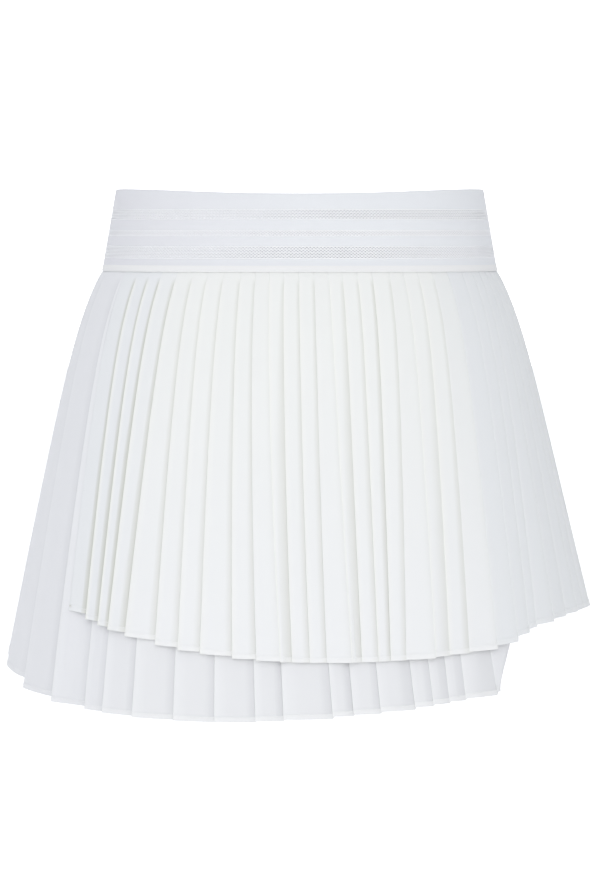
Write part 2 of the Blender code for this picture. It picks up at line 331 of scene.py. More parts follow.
# The band's left is painted greyer, as painted shade; the net's painted shade and highlight centre on a
# slanting line.
LEFT_PAINTED_SHADE = (0.775, 0.775, 0.8)
LEFT_SHADE_REACH = 130 * MM
NET_MIDDLE = 50 * MM
NET_SLANT = 1.6
NET_HALF = 95 * MM
TWIST_SCALE = 900.0
TWIST_DEPTH = 0.03 * MM


def knitted_elastic(name, light, dark, at_sides=None):
    """The band's own knit, painted greyer towards its left as painted shade; or, with a colour for its
    sides, a net finish whose painted shade or highlight fades to that colour there.
    """
    material, nodes, shader = principled(name, light, roughness=0.78, sheen=0.1)
    along, down = cloth_map(nodes)
    across, _, height = nodes.parts(nodes.add("ShaderNodeTexCoord", output=3))
    white = uneven_white(nodes, light, dark, scale=9.0)
    if at_sides:
        # The net's painted shade in its holes, or painted highlight on its yarn, fades towards the sides.
        off_middle = (across - height * NET_SLANT - NET_MIDDLE) * (1 / NET_HALF)
        white = nodes.mixed(off_middle * off_middle, white, at_sides)
    else:
        # Painted shade: the band greys towards its left.
        white = nodes.mixed(across * (-1 / LEFT_SHADE_REACH), white, LEFT_PAINTED_SHADE)
        white = nodes.mixed((height < BAND_TOP - WELT_TOP) * 1.0, white, WELT_WHITE)
    nodes.put(shader.inputs["Base Color"], white)
    ribs = (down * (2 * np.pi / RIB_PITCH)).sine()
    wales = (along * (2 * np.pi / WALE_PITCH)).sine()
    bumped(nodes, shader, ribs + wales * WALE_SHARE, KNIT_DEPTH, strength=0.4)
    return material


def sewing_thread(name, colour):
    material, nodes, shader = principled(name, colour, roughness=0.55, sheen=0.1)
    place = nodes.add("ShaderNodeTexCoord", output=3)
    values = {"Vector": place, "Scale": TWIST_SCALE}
    twist = nodes.add("ShaderNodeTexWave", {"bands_direction": "DIAGONAL"}, values)
    bumped(nodes, shader, twist, TWIST_DEPTH, strength=0.4)
    return material


KNITTED_ELASTIC = knitted_elastic("knitted_elastic", ELASTIC_WHITE, (0.805, 0.818, 0.835))
# The holes' floor is painted dark grey, as painted shade inside the band, and the yarn painted whiter, as a
# painted highlight.
NET_HOLE_SHADE = knitted_elastic(
    "net_backing", (0.5, 0.51, 0.54), (0.48, 0.49, 0.52), at_sides=ELASTIC_WHITE
)
OPENWORK_YARN = knitted_elastic(
    "openwork_yarn", (0.97, 0.973, 0.975), (0.96, 0.963, 0.965), at_sides=(0.92, 0.922, 0.935)
)
SEWING_THREAD = sewing_thread("sewing_thread", (0.88, 0.89, 0.89))
# The tack's thread is painted darker, as painted shade at the hem's corner.
SHADED_TACK_THREAD = sewing_thread("tack_thread_painted_shade", (0.7, 0.69, 0.65))
print("knits:", KNITTED_ELASTIC.name, NET_HOLE_SHADE.name, OPENWORK_YARN.name)
print("threads:", SEWING_THREAD.name, SHADED_TACK_THREAD.name)

# %% [markdown]
# ## The folds, one row each
# A presser sets a skirt's pleats by their width at the waist and at the hem. The front's folds are
# uneven, so each has its own row, in millimetres, in order towards +X. `deep` makes a fold deeper or
# shallower than its neighbours. `opened` says how much of a face has turned away at the hem, as where a
# pleat has sprung open, and `stands` how far a fold edge stands out there, in millimetres. `lean` is the
# share of its depth that a face loses evenly across, where it doesn't lie flat up to its roll.

# %% Tables of folds
Fold = namedtuple("Fold", "waist hem deep opened stands lean", defaults=(1.0, 0.0, 0.0, 0.0))
OVER_FOLDS = (
    Fold(13.7, 17, deep=3.0, lean=0.7), Fold(11.2, 11.3, deep=3.0, lean=0.9),
    Fold(10.2, 9.1, deep=2.6, lean=0.8), Fold(12.2, 13.8, deep=1.7, stands=0.4, lean=0.4),
    Fold(11.9, 23.2, deep=1.2, lean=0.2), Fold(10.5, 16.8, stands=-0.4),
    Fold(11.5, 15.5, stands=0.3), Fold(11.7, 22.3, stands=-0.3), Fold(10, 16.2, stands=0.6),
    Fold(9.5, 16, deep=0.35), Fold(9.8, 7.9, opened=1, stands=0.5), Fold(10.1, 11.9, stands=-0.4),
    Fold(10.2, 11.3), Fold(9.7, 16.8, deep=0.35, stands=-0.5), Fold(9.4, 6.8, opened=1, stands=0.8),
    Fold(10.3, 11, stands=-0.3), Fold(10.2, 8.4, deep=1.3), Fold(12.2, 10.4, stands=-0.5),
    Fold(10.2, 20.3, deep=0.3, stands=0.2), Fold(11, 10.6, deep=0.8, opened=0.7, stands=0.8),
    Fold(11.3, 14.6, deep=1.2, stands=-0.4), Fold(12.5, 21.3, deep=0.4, stands=-0.2, lean=0.4),
    Fold(13.7, 18, deep=0.5, stands=0.8), Fold(11, 12.2, stands=0.8), Fold(8.8, 8.2, stands=-0.2),
    Fold(8.8, 18, stands=-0.6), Fold(8.8, 18, stands=0.6), Fold(8.8, 18, stands=-0.3),
    Fold(8.8, 18, stands=0.7), Fold(8.8, 18), Fold(8.8, 18, stands=0.5), Fold(8.8, 18),
)
UNDER_FOLDS = (
    Fold(17, 34.3), Fold(20, 49.2, stands=0.9), Fold(26, 38.8, stands=-0.6), Fold(20, 29, stands=0.4),
    Fold(12, 15.5, stands=-0.5), Fold(16, 24, deep=1.1), Fold(19, 29.8, stands=0.4),
    Fold(17, 28.8, stands=-0.4), Fold(17, 27.7, stands=0.3), Fold(13, 18.9, deep=1.2),
    Fold(20, 33, stands=-0.4), Fold(10, 14.2, deep=1.2, stands=0.4), Fold(13, 18.4),
    Fold(16, 24, opened=0.2, stands=0.3), Fold(10, 12.9, stands=-0.6),
    Fold(10, 11.9, opened=0.3, stands=0.2), Fold(10, 11.9, opened=0.3, stands=-0.3),
    Fold(12, 24.7, opened=0.5, stands=0.2), Fold(31, 3.8),
)
BACK_FOLD_COUNT = 30
BACK_FOLD_WAIST = 13.3
BACK_FOLD_HEM = 20


def back_fold(number):
    """A fold of the back: alike at the waist, and a little uneven at the hem."""
    hem = BACK_FOLD_HEM * (1 + 0.3 * np.sin(2.4 * number))
    return Fold(BACK_FOLD_WAIST, hem, deep=1 + 0.4 * np.sin(3.7 * number), stands=0.9 * np.sin(4.1 * number))


BACK_FOLDS = tuple(back_fold(number) for number in range(BACK_FOLD_COUNT))
print("folds:", len(OVER_FOLDS), "over,", len(UNDER_FOLDS), "under,", len(BACK_FOLDS), "back")

# %% [markdown]
# ## The hems
# Each hem is a smooth curve through a few points. A table gives each point's place round the skirt and,
# in millimetres, its drop below the origin. The short panel hangs lowest near the front centre, and the
# long one a little left of it. At each side seam a panel's hem meets the back's.

# %% Tables of hems
OVER_HEM = {
    -0.6: 261.5, -0.4: 278, -0.12: 290, 0.1: 291.5, 0.3: 288.5, 0.45: 283, 0.58: 271.5, 0.7: 267, 1.0: 268,
}
UNDER_HEM = {-1.0: 299, -0.8: 315, -0.53: 327, -0.25: 331.5, 0.03: 328, 0.28: 320.5, 0.46: 313}
BACK_HEM = {1.0: 268, 1.25: 270, 1.6: 281, 2.0: 291, 2.5: 298, 3.0: 299}


def hem_drop(hem, place):
    """A smooth curve through a hem's points: cubic between them, with slopes taken from their neighbours."""
    places = np.array(list(hem.keys()))
    drops = np.array(list(hem.values())) * MM
    slopes = np.gradient(drops, places)
    place = np.clip(place, places[0], places[-1])
    index = np.clip(np.searchsorted(places, place) - 1, 0, len(places) - 2)
    span = places[index + 1] - places[index]
    t = (place - places[index]) / span
    start = drops[index] * (1 + 2 * t) + slopes[index] * span * t
    end = drops[index + 1] * (3 - 2 * t) - slopes[index + 1] * span * (1 - t)
    return start * (1 - t) ** 2 + end * t**2


print("hems at the front centre, mm:", [round(float(hem_drop(h, 0.0)) / MM) for h in (OVER_HEM, UNDER_HEM)])

# %% [markdown]
# ## One knife pleat
# A knife pleat is three layers: the face that shows, the underlap that goes on beneath the next face, and
# the return that comes back to the next fold edge. The table below is that path in order. `across` is a
# share of the face's width. `laps` and `tips` say how far to the side the point lies, in underlaps and in
# radii of the fold edge. `hidden` is 1 on the two layers that do not show, which lie deeper, and `layer`
# is a further depth inward, again in radii. `cloth` is the share of the fold's hem used up to there.

# %% The path of one fold
TIP = 0.16 * MM
LAP = 3.0 * MM
FACE_CLOTH = 0.32
PleatPoint = namedtuple("PleatPoint", "across laps tips hidden layer cloth", defaults=(0,) * 6)
TIP_PATH = (
    PleatPoint(tips=2.4, layer=2.0),
    PleatPoint(tips=0.45, layer=1.75),
    PleatPoint(layer=1.0),
    PleatPoint(tips=0.45, layer=0.25),
    PleatPoint(tips=2.4),
)
FACE_PATH = tuple(
    PleatPoint(across=share, cloth=FACE_CLOTH * share)
    for share in (0.12, 0.3, 0.45, 0.57, 0.66, 0.72, 0.77, 0.82, 0.87, 0.91, 0.955, 1.0)
)
UNDERLAP_PATH = (
    PleatPoint(across=1, laps=0.5, hidden=1, layer=0.2, cloth=0.5),
    PleatPoint(across=1, laps=1, hidden=1, cloth=0.65),
    PleatPoint(across=1, laps=1, tips=1, hidden=1, layer=-1, cloth=0.75),
    PleatPoint(across=1, laps=1, hidden=1, layer=-2, cloth=0.85),
)
RETURN_START = PleatPoint(laps=1, hidden=1, layer=-2)
FACING_PATH = (PleatPoint(across=0.35, layer=2.4), PleatPoint(across=0.15, layer=2.4))
print("points in one fold:", len(TIP_PATH + FACE_PATH + UNDERLAP_PATH) + 1)

# %% [markdown]
# ## The three panels
# A panel is told by its folds, the places of its two edges, its hem, and how deep its faces are pressed.
# The short panel's free edge has a narrow facing, and the long panel's last fold turns back on itself.
# What changes from the waist to the hem is a pair of values, `Edge`.

# %% Plans of the panels
Edge = namedtuple("Edge", "waist hem")
PanelPlan = namedtuple(
    "PanelPlan", "name folds start end hem depth beneath free_edge turned_edge", defaults=(False,) * 3
)
OVER_EDGE = Edge(-0.66, -0.595)
PLANS = (
    PanelPlan(
        "over_panel", OVER_FOLDS, start=OVER_EDGE, end=Edge(1.0, 1.0), hem=OVER_HEM,
        depth=Edge(0.4 * MM, 0.6 * MM), free_edge=True,
    ),
    PanelPlan(
        "under_panel", UNDER_FOLDS, start=Edge(-1.0, -1.0), end=Edge(0.6, 0.447), hem=UNDER_HEM,
        depth=Edge(0.4 * MM, 0.7 * MM), beneath=True, turned_edge=True,
    ),
    PanelPlan(
        "back_panel_cloth", BACK_FOLDS, start=Edge(1.0, 1.0), end=Edge(3.0, 3.0), hem=BACK_HEM,
        depth=Edge(0.6 * MM, 1.2 * MM),
    ),
)
REPLACED = {
    "over_panel": "front_over_panel",
    "under_panel": "front_under_panel",
    "back_panel_cloth": "back_panel",
}


def down_between(ends, down):
    """A value between the one at the waist and the one at the hem."""
    return ends.waist + (ends.hem - ends.waist) * down


def panel_columns(plan):
    """The panel's columns in order: (fold number, path point)."""
    columns = [(0, point) for point in (FACING_PATH if plan.free_edge else (RETURN_START,))]
    last = len(plan.folds) - 1
    for k in range(len(plan.folds)):
        columns += [(k, point) for point in TIP_PATH + FACE_PATH]
        if k < last:
            columns += [(k, point) for point in UNDERLAP_PATH]
        elif not plan.turned_edge:
            columns += [(k, point) for point in UNDERLAP_PATH[:2]]
    return columns


def edge_places(plan, end):
    """The places of a panel's fold edges at its waist or its hem."""
    widths = np.array([getattr(fold, end) for fold in plan.folds], float)
    reached = np.concatenate([[0.0], np.cumsum(widths)]) / widths.sum()
    first, last = getattr(plan.start, end), getattr(plan.end, end)
    return first + (last - first) * reached


# %% [markdown]
# ## A flat panel
# The panel is first laid out smooth on the outline: a grid of rows down the skirt and columns along the
# girth, where each column is one point of the pleat's path. Rows lie close under the band and at the hem,
# where the cloth bends most. A hidden layer ends with the shorter of its two folds, so a hem has steps.

# %% Laying out a panel
ROWS_BELOW_BAND = (-5.0, -1.0, 0.0, 1.0, 3.0, 4.5, 6.5, 9.0, 13.0, 18.0)
STITCH_ROW = 2.9
ROWS_ABOVE_HEM = (9.0, 5.0, 3.9, 3.4, STITCH_ROW, 1.2, 0.35, 0.0)
MIDDLE_ROWS = 26
EDGE_BOW = 0.109
Laid = namedtuple("Laid", "fold path sizes below above_hem down near width place")


def rows_of(length):
    """Depths below the band for columns of the given lengths."""
    top = [np.full_like(length, row * MM) for row in ROWS_BELOW_BAND]
    foot = [length - row * MM for row in ROWS_ABOVE_HEM]
    shares = np.linspace(0, 1, MIDDLE_ROWS + 2)[1:-1]
    middle = [top[-1] + (foot[0] - top[-1]) * share for share in shares]
    return np.stack(top + middle + foot)


def column_lengths(plan, fold, path, hem):
    length = hem_drop(plan.hem, hem[fold] + path.cloth * np.diff(hem)[fold]) + BAND_FOOT
    next_length = hem_drop(plan.hem, hem[fold + 1]) + BAND_FOOT
    return np.where(path.hidden > 0, np.minimum(length, next_length), length)


def laid_flat(plan):
    """What is known of each point of a panel before it is pressed."""
    columns = panel_columns(plan)
    fold = np.array([k for k, _ in columns])
    path = PleatPoint(*np.array([point for _, point in columns], float).T)
    sizes = Fold(*np.array(plan.folds, float)[fold].T)
    waist, hem = edge_places(plan, "waist"), edge_places(plan, "hem")
    length = column_lengths(plan, fold, path, hem)
    below = rows_of(length)
    down = np.clip(below / length, 0.0, 1.0)
    near = down_between(Edge(waist[fold], hem[fold]), down)
    far = down_between(Edge(waist[fold + 1], hem[fold + 1]), down)
    if plan.turned_edge:
        far = far + (fold == len(plan.folds) - 1) * EDGE_BOW * 4 * down * (1 - down)
    width = (far - near) * UNIT_QUARTER * outline_half_width(BAND_FOOT - below)
    place = near + path.across * (far - near)
    return Laid(fold, path, sizes, below, length - below, down, near, width, place)


# %% [markdown]
# ## What the press is told
# Attributes of the flat panel's points tell the press how deep a face is here, how far the point sits in
# the roll, and how deep the hidden layers lie. Just under the band the folds are shallow, for the seam
# holds them, and the front's folds flatten towards the right side. The tuck behind the band is laid out
# directly. Two more attributes only carry painted light for the cloth's colour: a painted highlight on
# fold edges and painted shade where faces turn in, and painted shade on the flanks.

# %% Depths, rolls and layers
Rise = namedtuple("Rise", "start width")
AT_SEAM = Rise(0.72, 0.28)
LOST_AT_SEAM = 0.6
FLATTER = Rise(0.05, 0.55)
SIDE_FLATNESS = 0.8
DEPTH_POWER = 0.7
LEAST_DEPTH = 0.2 * MM
STEEPEST_FACE = 0.36
UNPRESSED = Rise(3.0 * MM, 7 * MM)
UNPRESSED_DEPTH = 0.3 * MM
HIDDEN_DEPTH = 0.85 * MM
HIDDEN_MARGIN = 0.1 * MM
ROLL = Edge(2.0 * MM, 5.5 * MM)
ROLL_SHARES = (0.2, 0.38)
TUCK = 0.6 * MM
TUCK_DEPTH = 1.2 * MM
LIFT_IN_LAP = 0.2
OVER_EDGE_LENGTH = 235 * MM
COVERED = Rise(-0.03, 0.08)
APART_PLACES = (0, 0.03, 0.14, 0.24)
APART_DEPTHS = (1.6 * MM, 2.8 * MM, 2.6 * MM, 1.8 * MM)
APART_FULLY = Rise(0, 50 * MM)
TURN_BACK = 6 * MM
LEAST_TURN_BACK = 2.6 * MM
LAP_SHARE = 0.3


def risen(value, rise):
    """0 up to where the rise starts, 1 past its width, and a smooth change between."""
    share = np.clip((value - rise.start) / rise.width, 0.0, 1.0)
    return share * share * (3 - 2 * share)


def on_front(place):
    """1 on the front, less at the side seams, and 0 on the back."""
    return (1 - LOST_AT_SEAM * risen(np.abs(place), AT_SEAM)) * (place <= 1.0)


def face_depths(plan, flat):
    """How far inward a face ends behind its fold edge."""
    flat_side = 1 - SIDE_FLATNESS * risen(flat.place, FLATTER) * on_front(flat.place)
    depth = down_between(plan.depth, flat.down**DEPTH_POWER) * flat.sizes.deep * flat_side
    depth = np.clip(depth, LEAST_DEPTH, STEEPEST_FACE * flat.width)
    return UNPRESSED_DEPTH + (depth - UNPRESSED_DEPTH) * risen(flat.below, UNPRESSED)


def roll_shares(flat):
    """0 on the flat of a face, and from where it rolls under, up to 1 at its far edge."""
    roll = np.clip(down_between(ROLL, flat.down) / flat.width, *ROLL_SHARES)
    roll = roll + (1 - roll) * flat.sizes.opened * flat.down
    return np.clip((flat.path.across - 1 + roll) / roll, 0.0, 1.0)


def inward_tucks(plan, flat):
    """How far in the whole cloth lies: behind the band, behind the short panel, or out at the hem."""
    stands = np.array([fold.stands for fold in plan.folds] + [0.0]) * MM
    reached = flat.fold + flat.path.across + LIFT_IN_LAP * flat.path.laps
    lifted = np.interp(reached, np.arange(len(stands)), stands) * flat.down
    tuck = TUCK * np.exp(-np.maximum(flat.below, 0) / TUCK_DEPTH) - lifted
    if plan.beneath:
        past_edge = flat.place - down_between(OVER_EDGE, np.clip(flat.below / OVER_EDGE_LENGTH, 0, 1))
        apart = np.interp(past_edge, APART_PLACES, APART_DEPTHS)
        apart = APART_DEPTHS[0] + (apart - APART_DEPTHS[0]) * risen(flat.below, APART_FULLY)
        tuck = tuck + apart * risen(past_edge, COVERED)
    return tuck


# %% Painted shading of the folds and the flanks
# How strong the painted fold shading is, where it fades, and where the flanks' painted shade starts.
CREST_SHARE = 0.22
SOFTER_BENEATH = 2.4
SOFTNESS_RANGE = (0.6, 2.4)
FACE_TONE_BENEATH = 0.25
TONE_OF_DEPTH = 0.33
TONE_OF_OPENING = 0.1
TONE_BENEATH = 0.06
STRONGEST_TONE = 0.7
FAINT_RIGHT = Rise(0.35, 0.2)
LOST_RIGHT = 0.8
FAINT_LEFT = Rise(0.6, 0.2)
LOST_LEFT_BENEATH = 0.75
RIGHT_SHADE_START = Edge(waist=0.425, hem=0.37)
RIGHT_SHADE_WIDTH = 0.1
LEFT_SHADE_START = 0.4
LEFT_SHADE_WIDTH = 0.16


def paint_fold_shading(plan, flat, rolled):
    """Painted highlight above 0 on a fold edge, and painted shade below 0 where a face turns in; fainter at
    the front's sides.
    """
    path, sizes = flat.path, flat.sizes
    soft = 1 / np.clip(sizes.deep * (SOFTER_BENEATH if plan.beneath else 1.0), *SOFTNESS_RANGE)
    crest_highlight = np.clip(1 - path.across / CREST_SHARE, 0, 1) * (path.hidden == 0) * (flat.fold > 0)
    turned = np.maximum(rolled**soft, path.hidden * (path.across > 0))
    painted_shading = crest_highlight - np.maximum(turned, FACE_TONE_BENEATH * path.across * plan.beneath)
    strength = TONE_OF_DEPTH * sizes.deep + TONE_OF_OPENING * sizes.opened * flat.down
    strength = np.clip(strength + TONE_BENEATH * plan.beneath, 0, STRONGEST_TONE)
    lost_left = LOST_LEFT_BENEATH * risen(-flat.place, FAINT_LEFT) * plan.beneath
    kept = 1 - on_front(flat.place) * (LOST_RIGHT * risen(flat.place, FAINT_RIGHT) + lost_left)
    return painted_shading * strength * risen(flat.below, UNPRESSED) * kept


def painted_side_shades(flat):
    """0 round the middle of the front and of the back, and 1 on the flanks, which it paints in shade."""
    off_middle = np.abs(flat.near - 2 * np.round(flat.near / 2))
    right = flat.near > 0
    start = np.where(right, down_between(RIGHT_SHADE_START, flat.down), LEFT_SHADE_START)
    return risen(off_middle, Rise(start, np.where(right, RIGHT_SHADE_WIDTH, LEFT_SHADE_WIDTH)))


# %% All that a panel carries
def lay_out(plan):
    """Positions and press attributes of a panel, each as an array of rows by columns."""
    flat = laid_flat(plan)
    path = flat.path
    shape = flat.below.shape
    point, outward, along = on_outline(flat.place, BAND_FOOT - flat.below)
    rolled = roll_shares(flat)
    shown = face_depths(plan, flat)
    hidden = np.maximum(shown + HIDDEN_MARGIN, HIDDEN_DEPTH)
    if plan.turned_edge:
        turn_back = np.maximum(TURN_BACK * flat.down, LEAST_TURN_BACK)
        shown = np.where(flat.fold == len(plan.folds) - 1, turn_back, shown)
    return {
        "position": point - outward * inward_tucks(plan, flat)[..., None],
        "outward": outward,
        "along": along,
        "across": np.broadcast_to(path.across * (1 - path.hidden), shape),
        "rolled": rolled * (1 - path.hidden),
        "leaning": np.broadcast_to(flat.sizes.lean, shape),
        "shown_depth": shown,
        "layer": path.layer * TIP + path.hidden * hidden,
        "shift": path.laps * np.minimum(LAP, LAP_SHARE * flat.width) + path.tips * TIP,
        "above_hem": flat.above_hem,
        # Painted light: fold-edge highlight and fold shade, then the flanks' painted shade.
        "painted_fold_shading": paint_fold_shading(plan, flat, rolled),
        "side": painted_side_shades(flat),
    }


# %% A grid mesh that carries attributes
def placed(name, data):
    obj = bpy.data.objects.new(name, data)
    bpy.context.scene.collection.objects.link(obj)
    return obj


def store(mesh, name, values):
    """Puts an array of rows by columns, of numbers or of vectors, on a mesh's points."""
    kind, field = ("FLOAT_VECTOR", "vector") if values.ndim == 3 else ("FLOAT", "value")
    flat_values = np.ascontiguousarray(values, dtype=np.float32).ravel()
    mesh.attributes.new(name, kind, "POINT").data.foreach_set(field, flat_values)


def grid_mesh(name, layout):
    rows, columns = layout["across"].shape
    index = np.arange(rows * columns).reshape(rows, columns)
    quads = np.stack([index[:-1, :-1], index[1:, :-1], index[1:, 1:], index[:-1, 1:]], axis=-1)
    mesh = bpy.data.meshes.new(name)
    mesh.from_pydata(layout["position"].reshape(-1, 3).tolist(), [], quads.reshape(-1, 4).tolist())
    for key, values in layout.items():
        if key != "position":
            store(mesh, key, values)
    steps = np.linalg.norm(np.diff(layout["position"][-1], axis=0), axis=1)
    steps += np.abs(np.diff(layout["shift"][-1]))
    across = np.concatenate([[0.0], np.cumsum(steps)])
    uv = np.stack([np.broadcast_to(across, index.shape), -layout["above_hem"]], axis=-1).reshape(-1, 2)
    layer = mesh.uv_layers.new(name="cloth")
    corners = np.empty(len(mesh.loops), dtype=np.int32)
    mesh.loops.foreach_get("vertex_index", corners)
    layer.data.foreach_set("uv", uv[corners].astype(np.float32).ravel())
    mesh.shade_smooth()
    return placed(name, mesh)


# %% [markdown]
# ## The press
# Geometry Nodes do what a pleating press does. A face leans inward a little all the way across, and then
# rolls under the next fold over its last part. The hidden layers move inward by their own height and to
# the side by their lap. A slow noise opens some folds a little more than others, and bends the faces by
# a hair. The sewn hem stands a hair prouder than the cloth above it.


# %% The press as a node tree
def node_group(name, *numbers):
    """A new tree whose inputs are the geometry, the named numbers and a material."""
    tree = bpy.data.node_groups.new(name, "GeometryNodeTree")
    tree.is_modifier = True
    tree.interface.new_socket("Geometry", in_out="OUTPUT", socket_type="NodeSocketGeometry")
    kinds = {"Geometry": "Geometry", **dict.fromkeys(numbers, "Float"), "Material": "Material"}
    for title, kind in kinds.items():
        tree.interface.new_socket(title, in_out="INPUT", socket_type="NodeSocket" + kind)
    nodes = Nodes(tree)
    group = tree.nodes.new("NodeGroupInput")
    plugs = {socket.name: Plug(nodes, socket) for socket in group.outputs if socket.name}
    return tree, nodes, plugs


def finish_group(nodes, geometry, material):
    real = nodes.add("GeometryNodeRealizeInstances", None, [geometry])
    done = nodes.add("GeometryNodeSetMaterial", None, {"Geometry": real, "Material": material})
    out = nodes.tree.nodes.new("NodeGroupOutput")
    nodes.put(out.inputs[0], done)


def stored(nodes, name, kind="FLOAT"):
    return nodes.add("GeometryNodeInputNamedAttribute", {"data_type": kind}, {"Name": name})


def press_tree():
    tree, nodes, plug = node_group(
        "pleat_press", "Face Lean", "Roll Power", "Unevenness", "Seed", "Hem Height", "Hem Thickness"
    )
    rolled = stored(nodes, "rolled") ** plug["Roll Power"]
    lean = plug["Face Lean"] + stored(nodes, "leaning") * (1 - plug["Face Lean"])
    profile = stored(nodes, "across") * lean + rolled * (1 - lean)
    place = nodes.add("GeometryNodeInputPosition")
    values = {"Vector": place, "W": plug["Seed"], "Scale": 9.0}
    noise = nodes.add("ShaderNodeTexNoise", {"noise_dimensions": "4D"}, values)
    uneven = 1 + (noise - 0.5) * plug["Unevenness"]
    depth = profile * stored(nodes, "shown_depth") * uneven + stored(nodes, "layer")
    hem = (stored(nodes, "above_hem") < plug["Hem Height"]) * plug["Hem Thickness"]
    inward = nodes.scaled(stored(nodes, "outward", "FLOAT_VECTOR"), hem - depth)
    sideways = nodes.scaled(stored(nodes, "along", "FLOAT_VECTOR"), stored(nodes, "shift"))
    values = {"Geometry": plug["Geometry"], "Offset": nodes.summed(inward, sideways)}
    pressed = nodes.add("GeometryNodeSetPosition", None, values)
    finish_group(nodes, pressed, plug["Material"])
    return tree


def run_tree(obj, tree, values):
    """Evaluates a tree on an object, and returns the result as a plain object of the same name."""
    modifier = obj.modifiers.new(tree.name, "NODES")
    modifier.node_group = tree
    names = {item.name: item.identifier for item in tree.interface.items_tree if item.in_out == "INPUT"}
    for title, value in values.items():
        modifier[names[title]] = value
    graph = bpy.context.evaluated_depsgraph_get()
    mesh = bpy.data.meshes.new_from_object(obj.evaluated_get(graph))
    name = obj.name
    bpy.data.objects.remove(obj)
    mesh.name = name
    return placed(name, mesh)


PRESS = press_tree()
panels = {}
layouts = {}
for plan in PLANS:
    layout = lay_out(plan)
    layouts[plan.name] = layout
    values = {"Face Lean": 0.1, "Roll Power": 1.3, "Unevenness": 0.5, "Seed": 3.0,
              "Hem Height": HEM_HEIGHT, "Hem Thickness": 0.2 * MM,
              "Material": SHADED_CLOTH_BENEATH if plan.beneath else PLEATED_CLOTH}
    panels[plan.name] = run_tree(grid_mesh(plan.name, layout), PRESS, values)
    print(plan.name, len(panels[plan.name].data.vertices), "points")

# %% Thickness of the cloth
CLOTH_THICKNESS = 0.2 * MM
for panel in panels.values():
    solid = panel.modifiers.new("cloth_thickness", "SOLIDIFY")
    solid.thickness = CLOTH_THICKNESS
    solid.offset = -1.0
    solid.use_even_offset = False
print("cloth thickness, mm:", CLOTH_THICKNESS / MM)

# %% [markdown]
# ## The waistband
# The band is knitted elastic: plain stripes with three openwork stripes between them. The ring is a
# profile carried round the outline, with a sunk floor in each openwork stripe for the net to lie over.
# The floor is painted dark, as painted shade seen through the net's holes. The lowest 4.5 mm of the band
# is a smooth welt, a hair prouder than the rest, and the panels run up behind its foot.

# %% The band's ring
Stripe = namedtuple("Stripe", "top foot rows")
OPEN_STRIPES = (
    Stripe(top=14.5 * MM, foot=21.7 * MM, rows=6),
    Stripe(top=28.9 * MM, foot=33.3 * MM, rows=4),
    Stripe(top=40.0 * MM, foot=48.8 * MM, rows=8),
)
TOP_EDGE = ((0.9, 2.0), (0.25, 1.75), (0.0, 1.15), (0.15, 0.5), (0.6, 0.12), (1.4, 0.0))
LIP = 0.5 * MM
LIP_DEPTH = 0.12 * MM
FLOOR_MARGIN = 0.3 * MM
FLOOR_DEPTH = 0.36 * MM
WELT_PROUD = 0.15 * MM
FOOT_EDGE = ((0.1, -0.05), (0, 0.15), (0.1, 0.35), (6, 0.4), (8, 2))
BAND_WALL = 2 * MM
INNER_ROWS = (30, 10)
BAND_COLUMNS = 240
CLOSING_STEP = 9 * MM
SHARP_ANGLE = 50


def band_profile():
    """(depth below the upper edge, depth into the wall), down the outer face and up the inner one."""
    rows = [(down * MM, inward * MM) for down, inward in TOP_EDGE]
    for top, foot, _ in OPEN_STRIPES:
        rows += [(top - LIP, 0.0), (top, LIP_DEPTH), (top + FLOOR_MARGIN, FLOOR_DEPTH)]
        rows += [(foot - FLOOR_MARGIN, FLOOR_DEPTH), (foot, LIP_DEPTH), (foot + LIP, 0.0)]
    rows += [(WELT_TOP - 0.2 * MM, 0.1 * MM), (WELT_TOP + 0.3 * MM, -WELT_PROUD)]
    rows += [(BAND_HEIGHT - 0.6 * MM, -WELT_PROUD)]
    rows += [(BAND_HEIGHT - up * MM, inward * MM) for up, inward in FOOT_EDGE]
    rows += [(down * MM, BAND_WALL) for down in INNER_ROWS]
    return np.array(rows)


def band_map(depth):
    """The ring's UV: metres along the girth, and along the profile from its first row."""
    girth = 4 * UNIT_QUARTER * BAND_TOP_HALF_WIDTH
    column = np.arange(BAND_COLUMNS)[:, None]
    uv = np.empty((BAND_COLUMNS, len(depth), 4, 2))
    uv[:, :, 0, 0] = uv[:, :, 1, 0] = column / BAND_COLUMNS * girth
    uv[:, :, 2, 0] = uv[:, :, 3, 0] = (column + 1) / BAND_COLUMNS * girth
    uv[:, :, 0, 1] = uv[:, :, 3, 1] = -depth
    uv[:, :, 1, 1] = uv[:, :, 2, 1] = -np.append(depth[1:], depth[-1] + CLOSING_STEP)
    return uv


